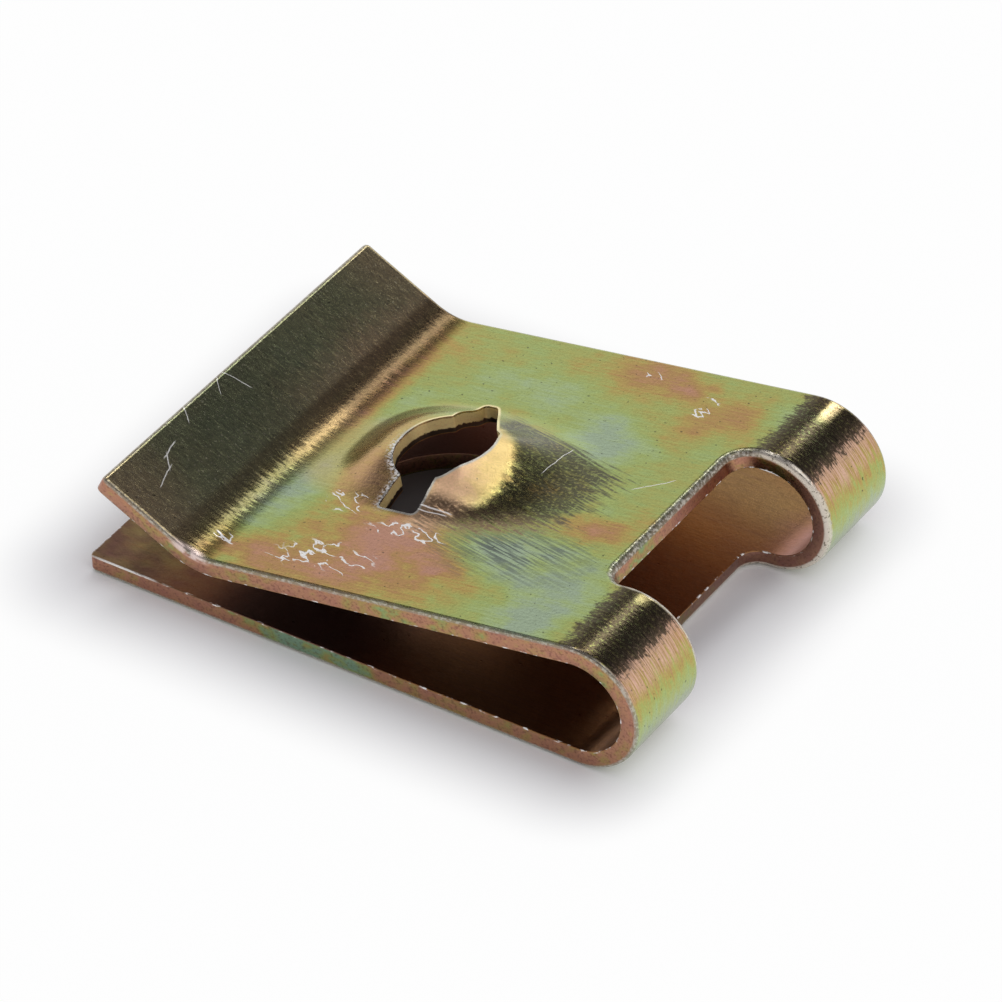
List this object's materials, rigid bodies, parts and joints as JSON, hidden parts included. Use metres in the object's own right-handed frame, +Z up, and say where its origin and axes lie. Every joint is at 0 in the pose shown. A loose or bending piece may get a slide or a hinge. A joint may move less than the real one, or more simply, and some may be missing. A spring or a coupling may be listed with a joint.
{
  "type": "u clip speed nut",
  "caption": "Folded spring steel U clip speed nut: flat leg with clearance hole, slotted fold, sprung leg with pressed screw thread and turned-up lip.",
  "frame": {"origin": "where the screw's axis meets the underside of the lower leg", "axes": "+X towards the fold, +Y across the strip, +Z up from the lower leg to the upper leg"},
  "size_m": [0.0165, 0.012, 0.0036],
  "materials": {
    "plated_steel": "yellow chromate over zinc, satin, with brushed and scratched patches"
  },
  "bodies": {
    "root": {"clip": "plated_steel"}
  },
  "joints": []
}
